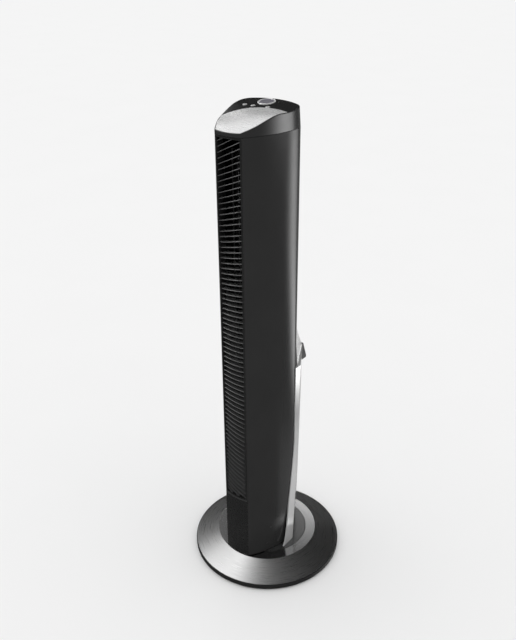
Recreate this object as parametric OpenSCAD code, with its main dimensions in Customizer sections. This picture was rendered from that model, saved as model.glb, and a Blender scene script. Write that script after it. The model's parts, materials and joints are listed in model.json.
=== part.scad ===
// Tower fan: a slim oscillating column on a round weighted base.
// Millimetres, +Z up. The origin is the centre of the base on the floor and the outlet faces -Y.

/* [Base] */
// Radius of the round base
base_r = 169; // [160:1:180]
// Height of the rubber feet
foot_h = 3; // [2:0.5:4]
// Height of the flat top of the base above the floor
plateau_z = 40; // [38:0.5:44]
// Radius of the flat top of the base
plateau_r = 115.2; // [112:0.2:120]
// Radius of the turntable disc
disc_r = 91.4; // [88:0.2:94]

/* [Column] */
// Height at which the casing starts
casing_z = 42; // [41.5:0.1:44]
// Height of the seam under the cap
seam_z = 992; // [900:1:1000]
// Radius of the curved front face
front_r = 115; // [110:1:115]
// Radius of the two side faces
side_r = 190.3; // [185:0.1:195]
// Radius of the curved rear face
rear_r = 125; // [120:1:130]
// Radius of the two rear corners
corner_r = 25; // [22:0.5:26]
// Wall thickness of the casing
wall = 2.5; // [2:0.1:3]

/* [Outlet] */
// Height of the silver line under the outlet
outlet_z = 199; // [180:1:240]
// Number of slats in the outlet
slat_count = 72; // [40:1:76]
// Thickness of a slat
slat_t = 1.8; // [1.2:0.1:2.4]
// Sideways slope of the highest slat
slat_roll = 27; // [0:1:30]

/* [Cap] */
// Rise of the silver plate towards the back, in mm per mm
plate_slope = 0.25; // [0.15:0.01:0.3]
// Rise of the control panel towards the back, in mm per mm
panel_slope = 0.13; // [0.05:0.01:0.2]
// How far the side of the cap leans in at its highest point
cap_draft = 2.5; // [0:0.5:9]

/* [Air path] */
// Radius of the blower wheel
wheel_r = 42; // [36:1:44]
// Number of blades around the blower wheel
blade_count = 28; // [20:1:36]

/* [Hidden] */
$fn = 96;
eps = 0.01;
far = 400;

// Column outline: a front arc between two sharp corners, two side arcs, two rounded
// rear corners and a rear arc. The side arcs run tangentially into the rear corners.
corner_x = 43;
corner_y = 3.3;
side_cx = side_r - corner_r - corner_x;
rear_cy = corner_y - sqrt(pow(rear_r - corner_r, 2) - pow(corner_x, 2));
rear_angle = atan(corner_x / (corner_y - rear_cy));
rear_y = rear_cy + rear_r;
fit = 0.2;            // gap between parts that only lie against each other

// Base
tray_t = 2.5;
rim_z = 14.5;
cover_z = rim_z + 0.2;
cover_r = base_r - 0.5;
cover_t = 2.5;
ballast_r = 120;
ballast_bore_r = 66;
ballast_h = 11;
lip_r = plateau_r - 0.3;
deck_z = plateau_z - 2.5;
seat_r = disc_r + 0.5;
seat_z = deck_z - 2;
well_r = 56;
well_z = 26;
foot_ring_r = 152;
foot_r = 10;
foot_count = 6;
boss_r = 5;
boss_ring_r = 128;
boss_count = 4;
boss_z0 = foot_h + tray_t + 0.2;
boss_z1 = 30.9;
gland_z = 10;
gland_r = 3.8;
post_r = 14;
post_bore_r = 9;
post_flange_r = 24;
post_top = 57;
washer_r = 68;
washer_w = 12;
clip_z = 53;
clip_t = 1.2;
clip_r = 18;
clip_groove_r = 12.5;

// Swivel drive: a pinion on the column rolls round a gear fixed in the base.
gear_module = 1;
gear_teeth = 60;
pinion_teeth = 12;
gear_pitch_r = gear_module * gear_teeth / 2;
pinion_pitch_r = gear_module * pinion_teeth / 2;
pinion_y = -(gear_pitch_r + pinion_pitch_r);
gear_z = 28;
gear_h = 6;
drive_shaft_r = 2.5;
drive_motor_r = 24;
drive_motor_y = pinion_y - 15;
drive_motor_h = 16;
drive_tab_x = drive_motor_r + 5;
drive_tab_t = 2;
drive_screw_r = 1.4;
drive_hole_r = 1.6;
pinion_hole_r = 4;
run_fit = 0.05;       // radial clearance of a running fit

// Turntable
disc_z = seat_z + 0.5;
pad_r = 46;
sleeve_r = 22;
bush_r = 17;
stand_screw_r = 38;
screw_r = 1.9;
screw_hole_r = 2.1;

// Casing
plate_t = 3;
plate_top = casing_z + plate_t;
front_half = 30.3;
front_angle = asin(front_half / front_r) - 0.25;
rear_half = 49.5;
casing_screw_x = 53.5;
casing_screw_y = 19.5;
casing_screw_r = 1.5;
casing_hole_r = 1.6;
casing_screw_zs = [90, 400, 700, 975];
side_screws = [[-61, 105], [-71, 62]];  // distance forward of the axis and height of each
line_h = 2;
frame_z = outlet_z + line_h + 0.2;
frame_top = seam_z - 0.4;
frame_border = 4;
frame_return_r = 99;
opening_angle = asin((front_half - frame_border) / front_r);
slat_front_r = front_r - 1.4;
slat_back_r = 100.4;
slat_z0 = frame_z + frame_border + 4;
slat_z1 = frame_top - frame_border - 5;
slat_pitch = (slat_z1 - slat_z0) / (slat_count - 1);
roll_z = 600;         // above this height the slats lean towards the top
sink_z = 520;         // below this height they lean the other way
slat_sink = 31;       // lean at the foot of the opening, in degrees

// Blower and motor share one upright axis
axis_y = -18;
shaft_r = 4;
stub_r = 3;
motor_plate_z = 192;
motor_plate_top = motor_plate_z + plate_t;
motor_r = 41;
motor_z0 = 110;
motor_z1 = 182;
motor_wall = 2.2;
bearing_r = 8;
stator_z0 = 130;
stator_z1 = 163;
stator_bore_r = 20;
winding_r = 36;
winding_h = 8;
rotor_r = 19.6;
rotor_over = 2;       // how far the rotor stands out of the stator at each end
mount_ring_r = 29;
mount_count = 3;
wheel_z0 = 203;
wheel_z1 = 945;
wheel_disc_t = 1.4;
wheel_disc_count = 8;
blade_depth = 9;
bearing_plate_z = 958;
intake_z0 = 205;
intake_z1 = bearing_plate_z - 15;
intake_pitch = 10;
intake_h = 4.5;
rubber_r = 14;
top_bearing_r = 9;
guide_t = 1.5;
guide_r = wheel_r + 8;
guide_start = -78.7;  // directions between which the air guide wraps the wheel
guide_end = 56;
duct_x = 24;          // the guide and the tongue end here, behind the outlet frame
duct_y = -frame_return_r + 3.4;

// Stand arm behind the casing
arm_half = 76;
arm_corner_foot = -2;
arm_corner_bend = 14;
arm_corner_top = 25;
arm_bend_z = 150;
arm_front_y = -38;
arm_spine_half = 20;
arm_foot_y = 89;
arm_top_y = 105;
arm_top = 494;
arm_t = 3;
arm_edge_z = 336;
arm_edge_y = 10.8;
arm_edge_stop = 8;
shoulder_z = arm_top + 1.2;
shoulder_mid = 560;
shoulder_top = 690;
grip_z0 = 452;
grip_depth = 17;

// Cap
cap_z = seam_z + 0.2;
cap_front_z = 1000;
lip_y = -front_r;
crease_y = -14;
crease_z = cap_front_z + plate_slope * (crease_y - lip_y);
cap_top = crease_z + panel_slope * (rear_y - crease_y);
cap_wall = 2.2;
skin_t = 2;
arc_place = [21.5, -91.8];
arc_r = 80.5;
pocket_x = [-52, 26];
pocket_y = [-8, 48];
pocket_depth = 9;
panel_tilt = atan(panel_slope);

// Controls. Places are in the plane of the control panel: x, then distance up from the crease.
ring_pos = [-11, 29.7];
ring_r = 17;
power_r = 13.5;
small_r = 4.6;
speed_pos = [-40, 1.8];
timer_pos = [-21.7, 2.6];
swing_pos = [10, 4.7];
small_buttons = [speed_pos, timer_pos, swing_pos];
receiver_pos = [12, 36];
receiver_r = 2.4;
button_gap = 0.3;
button_rise = 1.2;
flange_w = 1.1;
stem_r = 2.5;
board_drop = 8;
board_t = 1.6;
board_x = [-45, 23];
board_y = [-5, 37.5];

// ---------- shared shapes ----------

// The wedge behind the column that the rear arc spans.
module rear_wedge(angle) {
  reach = far / 2;
  polygon([[0, rear_cy], [reach * sin(angle), rear_cy + reach * cos(angle)],
           [-reach * sin(angle), rear_cy + reach * cos(angle)]]);
}

// Plan of the column, moved inwards by inset (outwards when negative).
module outline(inset = 0) {
  intersection() {
    circle(r = front_r - inset);
    translate([-side_cx, corner_y])
      circle(r = side_r - inset);
    translate([side_cx, corner_y])
      circle(r = side_r - inset);
    union() {
      translate([-far / 2, -far / 2])
        square([far, far / 2 + corner_y]);
      for (side = [-1, 1])
        translate([side * corner_x, corner_y])
          circle(r = corner_r - inset);
      intersection() {
        translate([0, rear_cy])
          circle(r = rear_r - inset);
        rear_wedge(rear_angle);
      }
    }
  }
}

module column_skin(thick) {
  difference() {
    outline();
    outline(thick);
  }
}

// A sector of the front, between two radii.
module front_sector(r_in, r_out, angle) {
  intersection() {
    difference() {
      circle(r = r_out);
      circle(r = r_in);
    }
    polygon([[0, 0], [-far / 2 * sin(angle), -far / 2 * cos(angle)],
             [far / 2 * sin(angle), -far / 2 * cos(angle)]]);
  }
}

module ring(r_out, r_in, z0, z1) {
  translate([0, 0, z0])
    difference() {
      cylinder(r = r_out, h = z1 - z0);
      translate([0, 0, -1])
        cylinder(r = r_in, h = z1 - z0 + 2);
    }
}

module around(count, radius, start = 0) {
  for (i = [0 : count - 1])
    rotate([0, 0, start + i * 360 / count])
      translate([radius, 0, 0])
        children();
}

// A pan-head screw that points up from its head, or down when flipped.
module screw(z_head, length, r = screw_r, up = true) {
  translate([0, 0, z_head])
    mirror([0, 0, up ? 0 : 1]) {
      cylinder(r = r, h = length);
      translate([0, 0, -2.2])
        cylinder(r = r * 2, h = 2.2);
    }
}

// Trapezoidal teeth round a disc.
module gear_plan(teeth, pitch_r, backlash) {
  root_r = pitch_r - 1.25 * gear_module;
  tip_r = pitch_r + gear_module;
  half = 90 / teeth - backlash;
  circle(r = root_r);
  for (i = [0 : teeth - 1])
    rotate([0, 0, i * 360 / teeth])
      polygon([[root_r - 0.5, -root_r * sin(half * 1.3)], [root_r, -root_r * sin(half * 1.3)],
               [tip_r, -tip_r * sin(half * 0.5)], [tip_r, tip_r * sin(half * 0.5)],
               [root_r, root_r * sin(half * 1.3)], [root_r - 0.5, root_r * sin(half * 1.3)]]);
}

// ---------- base ----------

module base_tray() {
  color("#1c1c1d")
    difference() {
      union() {
        ring(base_r, post_bore_r, foot_h, foot_h + tray_t);
        ring(base_r, base_r - 3, foot_h, rim_z);
      }
      around(boss_count, boss_ring_r, 45)
        translate([0, 0, foot_h - 1])
          cylinder(r = screw_hole_r, h = tray_t + 2);
      translate([0, base_r, gland_z])
        rotate([90, 0, 0])
          cylinder(r = gland_r + 0.1, h = 12, center = true);
    }
}

module base_cover() {
  color("#5a5c5e")
    difference() {
      union() {
        rotate_extrude($fn = 128)
          polygon([[cover_r, cover_z], [plateau_r, plateau_z], [lip_r, plateau_z],
                   [lip_r, deck_z], [seat_r, deck_z], [seat_r, seat_z], [well_r, seat_z],
                   [well_r, well_z], [post_bore_r, well_z], [post_bore_r, well_z - cover_t],
                   [well_r + cover_t, well_z - cover_t], [well_r + cover_t, seat_z - cover_t],
                   [seat_r + cover_t, seat_z - cover_t], [lip_r - 1, deck_z - cover_t],
                   [cover_r - 6, cover_z]]);
        around(boss_count, boss_ring_r, 45)
          translate([0, 0, boss_z0])
            cylinder(r = boss_r, h = boss_z1 - boss_z0);
      }
      around(boss_count, boss_ring_r, 45)
        cylinder(r = screw_r, h = boss_z0 + 12);
    }
}

module plateau_ring() {
  color("#c9cbcd")
    ring(lip_r - 0.2, seat_r + 0.2, deck_z, plateau_z);
}

// Steel weight that keeps the tall column from tipping.
module ballast_ring() {
  color("#6b6560")
    difference() {
      ring(ballast_r, ballast_bore_r, foot_h + tray_t, foot_h + tray_t + ballast_h);
      around(boss_count, boss_ring_r, 45)
        cylinder(r = boss_r + 5, h = far);
    }
}

module rubber_feet() {
  color("#0f0f10")
    around(foot_count, foot_ring_r, 30)
      cylinder(r = foot_r, h = foot_h);
}

module base_screws() {
  color("#b8b8ba")
    around(boss_count, boss_ring_r, 45)
      screw(foot_h, 14);
}

module pivot_post() {
  color("#9a9da1")
    difference() {
      union() {
        ring(post_flange_r, post_bore_r, well_z, gear_z);
        ring(post_r, post_bore_r, well_z, post_top);
      }
      ring(post_r + 1, clip_groove_r, clip_z, clip_z + clip_t);
    }
}

module fixed_gear() {
  color("#e8e6df")
    translate([0, 0, gear_z])
      linear_extrude(gear_h)
        difference() {
          rotate([0, 0, 180 / gear_teeth])
            gear_plan(gear_teeth, gear_pitch_r, 0.2);
          circle(r = post_r + run_fit);
        }
}

module thrust_washer() {
  color("#ece9dc")
    ring(washer_r + washer_w, washer_r, seat_z, disc_z - run_fit);
}

module retaining_clip() {
  color("#8d9094")
    ring(clip_r, clip_groove_r + run_fit, clip_z, clip_z + clip_t - run_fit);
}

// Rubber grommet where the supply cord leaves the base.
module cord_gland() {
  cord_hole_r = 2.4;
  sleeve_h = 4;
  lip_w = 0.6;
  lip_at = 3.1;
  color("#101010")
    translate([0, base_r - 0.2, gland_z])
      rotate([90, 0, 0])
        difference() {
          union() {
            cylinder(r = gland_r, h = sleeve_h);
            translate([0, 0, lip_at])
              cylinder(r = gland_r + lip_w, h = 1.4);
          }
          translate([0, 0, -1])
            cylinder(r = cord_hole_r, h = 8);
        }
}

// ---------- swivelling stand ----------

module turntable_disc() {
  color("#8f9193")
    difference() {
      union() {
        ring(disc_r, bush_r, disc_z, plateau_z);
        translate([0, 0, disc_z])
          linear_extrude(casing_z - disc_z)
            difference() {
              intersection() {
                circle(r = pad_r);
                outline(wall);
              }
              circle(r = bush_r);
            }
        ring(sleeve_r, bush_r, disc_z, casing_z + 2);
      }
      around(4, stand_screw_r, 45)
        cylinder(r = screw_hole_r, h = far);
      translate([0, pinion_y, 0])
        cylinder(r = pinion_hole_r, h = far);
    }
}

module pivot_bush() {
  color("#d9c58a")
    ring(bush_r, post_r + run_fit, disc_z - 1, clip_z - 0.3);
}

module stand_screws() {
  color("#b8b8ba")
    around(4, stand_screw_r, 45)
      screw(disc_z, 12);
}

module bottom_plate() {
  color("#202122")
    difference() {
      translate([0, 0, casing_z])
        linear_extrude(plate_t)
          outline(wall + fit);
      translate([0, 0, casing_z - 1])
        cylinder(r = sleeve_r + 1, h = plate_t + 2);
      around(4, stand_screw_r, 45)
        cylinder(r = screw_hole_r, h = far);
      translate([0, pinion_y, 0])
        cylinder(r = pinion_hole_r, h = far);
      for (side = [-1, 1])
        translate([side * drive_tab_x, drive_motor_y, 0])
          cylinder(r = drive_hole_r, h = far);
    }
}

// ---------- casing ----------

module side_panel(side) {
  color("#2b2c2e")
    difference() {
      translate([0, 0, casing_z])
        linear_extrude(seam_z - fit - casing_z)
          difference() {
            intersection() {
              column_skin(wall);
              translate([side > 0 ? 0 : -far / 2, -far / 2])
                square([far / 2, far]);
            }
            front_sector(1, far, front_angle);
            translate([-rear_half, 0])
              square([2 * rear_half, far]);
          }
      for (z = casing_screw_zs)
        translate([side * casing_screw_x, 0, z])
          rotate([-90, 0, 0])
            cylinder(r = casing_hole_r, h = far);
      for (place = side_screws)
        at_side(side, place)
          cylinder(r = casing_hole_r, h = 12, center = true);
    }
}

// Moves its children to a place on the side face, with +Z pointing out of the casing.
module at_side(side, place) {
  turn = asin((place[0] - corner_y) / side_r);
  translate([-side * side_cx, corner_y, place[1]])
    rotate([0, 0, side > 0 ? turn : 180 - turn])
      translate([side_r, 0, 0])
        rotate([0, 90, 0])
          children();
}

module side_panel_left() {
  side_panel(-1);
}

module side_panel_right() {
  side_panel(1);
}

// Rear panel with rows of intake slots and upright ribs behind them.
module rear_grille() {
  slot_margin = 8;
  rib_xs = [-28, 0, 28];
  rib_t = 1.6;
  color("#242526") {
    difference() {
      translate([0, 0, casing_z])
        linear_extrude(seam_z - fit - casing_z)
          intersection() {
            column_skin(wall);
            translate([fit - rear_half, 0])
              square([2 * (rear_half - fit), far]);
          }
      for (z = [intake_z0 : intake_pitch : intake_z1])
        translate([slot_margin - rear_half, 10, z])
          cube([2 * (rear_half - slot_margin), far / 4, intake_h]);
    }
    translate([0, 0, motor_plate_top + 0.5])
      linear_extrude(bearing_plate_z - motor_plate_top - 1)
        intersection() {
          difference() {
            outline(wall - 0.4);
            outline(wall + 4);
          }
          for (x = rib_xs)
            translate([x - rib_t / 2, 0])
              square([rib_t, far]);
        }
  }
}

module front_panel() {
  color("#161617")
    translate([0, 0, casing_z])
      linear_extrude(outlet_z - fit - casing_z)
        front_sector(front_r - wall, front_r, front_angle - 0.15);
}

module grille_trim() {
  color("#c4c6c8")
    translate([0, 0, outlet_z])
      linear_extrude(line_h)
        front_sector(front_r - wall, front_r + 0.2, front_angle - 0.15);
}

// Outlet frame: an arched border with walls that run back to the blower.
module grille_frame() {
  color("#1a1a1b")
    translate([0, 0, frame_z])
      difference() {
        linear_extrude(frame_top - frame_z)
          difference() {
            front_sector(frame_return_r, front_r, front_angle - 0.15);
            circle(r = front_r - wall);
          }
        translate([0, 0, frame_border])
          linear_extrude(frame_top - frame_z - 2 * frame_border)
            front_sector(frame_return_r - 2, far, opening_angle);
      }
  color("#1a1a1b")
    for (side = [-1, 1])
      translate([0, 0, frame_z])
        linear_extrude(frame_top - frame_z)
          rotate([0, 0, side * (opening_angle + 0.4)])
            translate([-0.75, -front_r + wall - 0.5])
              square([1.5, front_r - wall - frame_return_r]);
}

// Lean of a slat: level in the middle, one way towards the top and the other way towards the foot.
function slat_tilt(z) =
  z > roll_z ? slat_roll * (z - roll_z) / (slat_z1 - roll_z) :
  z < sink_z ? -slat_sink * (sink_z - z) / (sink_z - frame_z) : 0;

// Curved slats, clipped to the opening.
module grille_slats() {
  color("#3a3b3d")
    intersection() {
      for (i = [-1 : slat_count])
        let (z = slat_z0 + i * slat_pitch)
          translate([0, 0, z])
            rotate([0, -slat_tilt(z), 0])
              translate([0, 0, -slat_t / 2])
                linear_extrude(slat_t)
                  front_sector(slat_back_r, slat_front_r, opening_angle + 2);
      translate([0, 0, frame_z + frame_border + fit])
        linear_extrude(frame_top - frame_z - 2 * (frame_border + fit))
          front_sector(slat_back_r - 5, slat_front_r + 1, opening_angle - 0.05);
    }
}

module grille_rib() {
  rib_half = 1.5;
  rib_top = 968;
  color("#39393b") {
    translate([-rib_half, -slat_back_r + 0.1, frame_z + 2])
      cube([2 * rib_half, 5, rib_top - frame_z - 2]);
    translate([0, -slat_back_r + 0.1, rib_top])
      rotate([-90, 0, 0])
        cylinder(r = rib_half, h = 5);
  }
}

module casing_screws() {
  color("#2a2a2c")
    for (side = [-1, 1]) {
      for (z = casing_screw_zs)
        translate([side * casing_screw_x, casing_screw_y, z])
          rotate([-90, 0, 0])
            cylinder(r = casing_screw_r, h = 5.2);
      for (place = side_screws)
        at_side(side, place)
          translate([0, 0, -3.4])
            cylinder(r = casing_screw_r, h = 3.2);
    }
}

// ---------- stand arm ----------

// Distance of the arm's front edge behind the column axis at height z.
function arm_edge(z) =
  min(arm_edge_stop, arm_front_y
      + (arm_edge_y - arm_front_y) * pow((z - plateau_z) / (arm_edge_z - plateau_z), 0.56));

// Distance of the arm's spine behind the column axis at height z.
function arm_back(z) =
  arm_foot_y + (arm_top_y - arm_foot_y) * pow((z - plateau_z) / (arm_top - plateau_z), 0.6);

// Half width of the arm's side walls at height z.
function arm_width(z) = arm_half - 6 * min(1, (z - plateau_z) / (arm_bend_z - plateau_z));

// Where the side walls end and the slanting ones begin, behind the column axis, at height z.
function arm_corner_y(z) =
  arm_corner_foot
  + (arm_corner_bend - arm_corner_foot) * min(1, (z - plateau_z) / (arm_bend_z - plateau_z))
  + (arm_corner_top - arm_corner_bend) * max(0, (z - arm_bend_z) / (arm_top - arm_bend_z));

module arm_plan(z, inset = 0) {
  spine = arm_spine_half - inset * 0.5;
  side = arm_width(z) - inset;
  corner_y = arm_corner_y(z);
  polygon([[-side, arm_front_y], [side, arm_front_y], [side, corner_y],
           [spine, arm_back(z) - inset], [-spine, arm_back(z) - inset], [-side, corner_y]]);
}

module arm_loft(inset, z_list) {
  for (i = [0 : len(z_list) - 2])
    hull() {
      translate([0, 0, z_list[i]])
        linear_extrude(eps)
          arm_plan(z_list[i], inset);
      translate([0, 0, z_list[i + 1] - eps])
        linear_extrude(eps)
          arm_plan(z_list[i + 1], inset);
    }
}

// Everything in front of the arm's swept front edge.
module arm_front_cut() {
  step = 24;
  rotate([90, 0, 90])
    linear_extrude(far, center = true)
      polygon(concat([[-far / 2, plateau_z - 1], [arm_edge(plateau_z), plateau_z - 1]],
                     [for (z = [plateau_z : step : arm_top]) [arm_edge(z), z]],
                     [[arm_edge(arm_top), arm_top + 1], [-far / 2, arm_top + 1]]));
}

module stand_arm() {
  color("#d3d5d7")
    difference() {
      arm_loft(0, [plateau_z, 90, arm_bend_z, arm_top]);
      arm_loft(arm_t, [plateau_z + arm_t, 90, arm_bend_z, arm_top - arm_t]);
      translate([0, 0, plateau_z - 1])
        linear_extrude(far * 2)
          outline(-fit);
      arm_front_cut();
    }
}

// Fairing that carries the line of the arm up into the casing.
module arm_shoulder() {
  foot_half = 68;
  middle_half = 60;
  tip_half = 30;
  tip_spine = 12;
  middle_y = 86;
  front_y = 20;
  top_y = rear_y + 1;
  color("#a4a6a8")
    difference() {
      hull() {
        translate([0, 0, shoulder_z])
          linear_extrude(eps)
            polygon([[-foot_half, front_y], [foot_half, front_y], [arm_spine_half, arm_top_y - 1],
                     [-arm_spine_half, arm_top_y - 1]]);
        translate([0, 0, shoulder_mid])
          linear_extrude(eps)
            polygon([[-middle_half, front_y], [middle_half, front_y],
                     [arm_spine_half - 1, middle_y], [1 - arm_spine_half, middle_y]]);
        translate([0, 0, shoulder_top])
          linear_extrude(eps)
            polygon([[-tip_half, front_y], [tip_half, front_y], [tip_spine, top_y],
                     [-tip_spine, top_y]]);
      }
      translate([0, 0, shoulder_z - 1])
        linear_extrude(far)
          outline(-fit);
    }
}

// Wedge-shaped grip on the arm's spine, with a flat ledge underneath.
module carry_grip() {
  color("#121213")
    rotate([90, 0, 90])
      linear_extrude(2 * arm_spine_half - 1, center = true)
        polygon([[arm_back(grip_z0) + fit, grip_z0], [arm_top_y + grip_depth, grip_z0],
                 [arm_top_y + grip_depth, grip_z0 + 5], [arm_top_y + 4, arm_top],
                 [arm_top_y + fit, arm_top]]);
}

// ---------- swivel drive and electrics in the foot of the column ----------

module oscillation_motor() {
  color("#b5b8ba")
    difference() {
      union() {
        translate([0, drive_motor_y, plate_top])
          cylinder(r = drive_motor_r, h = drive_motor_h);
        for (side = [-1, 1])
          translate([side * drive_tab_x, drive_motor_y, plate_top])
            cylinder(r = 5, h = drive_tab_t);
        translate([-drive_tab_x, drive_motor_y - 5, plate_top])
          cube([2 * drive_tab_x, 10, drive_tab_t]);
      }
      translate([0, pinion_y, plate_top - 1])
        cylinder(r = drive_shaft_r + run_fit, h = 13);
      for (side = [-1, 1])
        translate([side * drive_tab_x, drive_motor_y, 0])
          cylinder(r = drive_hole_r, h = far);
    }
}

module oscillation_screws() {
  color("#c8a24a")
    for (side = [-1, 1])
      translate([side * drive_tab_x, drive_motor_y, 0])
        screw(plate_top + drive_tab_t, 4.5, drive_screw_r, false);
}

module drive_pinion() {
  color("#f0eee6")
    translate([0, pinion_y, 0]) {
      translate([0, 0, gear_z - 0.5])
        linear_extrude(gear_h + 1)
          rotate([0, 0, 90])
            gear_plan(pinion_teeth, pinion_pitch_r, 1.2);
      translate([0, 0, gear_z - 0.5])
        cylinder(r = drive_shaft_r, h = 29);
    }
}

module power_board() {
  board_size = [68, board_t, 90];
  board_y0 = 26;
  transformer = [30, 18, 24];
  relay = [16, 10, 18];
  color("#2e6b3c") {
    translate([-board_size[0] / 2, board_y0, 60])
      cube(board_size);
  }
  color("#22262c") {
    translate([-22, board_y0 - transformer[1], 72])
      cube(transformer);
    translate([14, board_y0 - relay[1], 64])
      cube(relay);
  }
}

module motor_capacitor() {
  can_r = 12;
  can_h = 46;
  can_place = [-46, -8];
  color("#d8d9da")
    translate([can_place[0], can_place[1], plate_top])
      cylinder(r = can_r, h = can_h);
}

// ---------- fan motor ----------

module motor_plate() {
  color("#3a3c3e")
    difference() {
      translate([0, 0, motor_plate_z])
        linear_extrude(plate_t)
          outline(wall + fit);
      translate([0, axis_y, 0]) {
        cylinder(r = 13, h = far);
        around(mount_count, mount_ring_r, 90)
          cylinder(r = screw_hole_r, h = far);
      }
    }
}

module motor_mounts() {
  color("#151515")
    translate([0, axis_y, motor_z1])
      around(mount_count, mount_ring_r, 90)
        ring(7, screw_hole_r, 0, motor_plate_z - motor_z1);
}

module motor_screws() {
  color("#b8b8ba")
    translate([0, axis_y, 0])
      around(mount_count, mount_ring_r, 90)
        screw(motor_plate_top, 18, screw_r, false);
}

module motor_housing() {
  color("#85888c")
    translate([0, axis_y, 0])
      difference() {
        union() {
          ring(motor_r, motor_r - motor_wall, motor_z0 + 3, motor_z1);
          ring(motor_r - eps, bearing_r + 3, motor_z1 - motor_wall, motor_z1);
          ring(bearing_r + 3, bearing_r, motor_z1 - 9, motor_z1 + 2);
        }
        around(mount_count, mount_ring_r, 90)
          cylinder(r = screw_hole_r, h = far);
      }
}

module motor_end_cap() {
  color("#85888c")
    translate([0, axis_y, 0]) {
      ring(motor_r, bearing_r + 3 - eps, motor_z0, motor_z0 + 2.8);
      ring(bearing_r + 3, bearing_r, motor_z0, motor_z0 + 9);
    }
}

module motor_stator() {
  color("#5c5f63")
    translate([0, axis_y, 0])
      ring(motor_r - motor_wall - 0.1, stator_bore_r, stator_z0, stator_z1);
}

module motor_windings() {
  color("#b36a2e")
    translate([0, axis_y, 0]) {
      ring(winding_r, stator_bore_r + 2, stator_z0 - winding_h, stator_z0 - 0.1);
      ring(winding_r, stator_bore_r + 2, stator_z1 + 0.1, stator_z1 + winding_h);
    }
}

module motor_bearings() {
  color("#c9b06a")
    translate([0, axis_y, 0]) {
      ring(bearing_r, shaft_r + run_fit, motor_z0 + 1, motor_z0 + 8);
      ring(bearing_r, shaft_r + run_fit, motor_z1 - 8, motor_z1 + 1);
    }
}

module motor_rotor() {
  color("#8e8276")
    translate([0, axis_y, 0])
      ring(rotor_r, shaft_r + 0.02, stator_z0 - rotor_over, stator_z1 + rotor_over);
}

module motor_shaft() {
  color("#d0d3d6")
    translate([0, axis_y, motor_z0 - 4])
      cylinder(r = shaft_r, h = wheel_z0 + 18 - motor_z0);
}

// ---------- blower ----------

module blower_wheel() {
  rim_w = blade_depth + 2;
  disc_step = (wheel_z1 - wheel_z0 - wheel_disc_t) / (wheel_disc_count - 1);
  color("#1f2022")
    translate([0, axis_y, 0]) {
      for (i = [0 : wheel_disc_count - 1])
        let (z = wheel_z0 + i * disc_step)
          ring(wheel_r, wheel_r - rim_w, z, z + wheel_disc_t);
      ring(wheel_r, shaft_r + 5, wheel_z0, wheel_z0 + wheel_disc_t);
      ring(shaft_r + 6, shaft_r + 0.02, wheel_z0, wheel_z0 + 18);
      ring(wheel_r, stub_r + 4, wheel_z1 - wheel_disc_t, wheel_z1);
      ring(stub_r + 5, stub_r + 0.02, wheel_z1 - 16, wheel_z1);
      for (i = [0 : blade_count - 1])
        rotate([0, 0, i * 360 / blade_count])
          translate([wheel_r - 6, 0, wheel_z0])
            rotate([0, 0, 38])
              translate([-blade_depth / 2, -0.4, 0])
                cube([blade_depth, 0.8, wheel_z1 - wheel_z0]);
    }
}

module wheel_stub() {
  color("#d0d3d6")
    translate([0, axis_y, wheel_z1 - 15])
      cylinder(r = stub_r, h = bearing_plate_z + 6 - wheel_z1 + 15);
}

// A flat wall between two points of the plan.
module wall_strip(from, to, thick) {
  run = to - from;
  translate(from)
    rotate([0, 0, atan2(run[1], run[0])])
      translate([0, -thick / 2])
        square([norm(run), thick]);
}

// Curved wall round the back of the wheel, with a straight wall on to the outlet.
module air_guide() {
  mid_r = guide_r - guide_t / 2;
  start = [mid_r * cos(guide_start), axis_y + mid_r * sin(guide_start)];
  color("#303133")
    translate([0, 0, motor_plate_top + fit])
      linear_extrude(bearing_plate_z - motor_plate_top - 2 * fit) {
        translate([0, axis_y])
          intersection() {
            difference() {
              circle(r = guide_r);
              circle(r = guide_r - guide_t);
            }
            polygon([[0, 0], [far * cos(guide_start), far * sin(guide_start)],
                     [far, 0], [far * cos(guide_end), far * sin(guide_end)]]);
          }
        wall_strip(start - [0.5, -1], [duct_x, duct_y], guide_t);
      }
}

// Wall that parts the outlet from the intake on the other side of the wheel.
module air_tongue() {
  nose = [-43, axis_y - 21.5];
  color("#303133")
    translate([0, 0, motor_plate_top + fit])
      linear_extrude(bearing_plate_z - motor_plate_top - 2 * fit) {
        wall_strip([-duct_x, duct_y], nose, 2 * guide_t);
        wall_strip(nose + [0.7, -1], [-46.2, axis_y - 12], 2 * guide_t);
      }
}

module bearing_plate() {
  color("#3a3c3e")
    difference() {
      union() {
        translate([0, 0, bearing_plate_z])
          linear_extrude(plate_t)
            outline(wall + fit);
        translate([0, axis_y, 0])
          ring(rubber_r + 3, rubber_r - 1, bearing_plate_z - 3, bearing_plate_z + 8);
      }
      translate([0, axis_y, 0])
        cylinder(r = rubber_r, h = far * 3);
      translate([-far / 2, -frame_return_r + 5 - far, bearing_plate_z - 1])
        cube([far, far, plate_t + 2]);
    }
}

module bearing_rubber() {
  color("#151515")
    translate([0, axis_y, 0])
      ring(rubber_r, top_bearing_r, bearing_plate_z - 2, bearing_plate_z + 7);
}

module top_bearing() {
  color("#c9b06a")
    translate([0, axis_y, 0])
      ring(top_bearing_r, stub_r + run_fit, bearing_plate_z - 1, bearing_plate_z + 6);
}

// ---------- cap ----------

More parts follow.
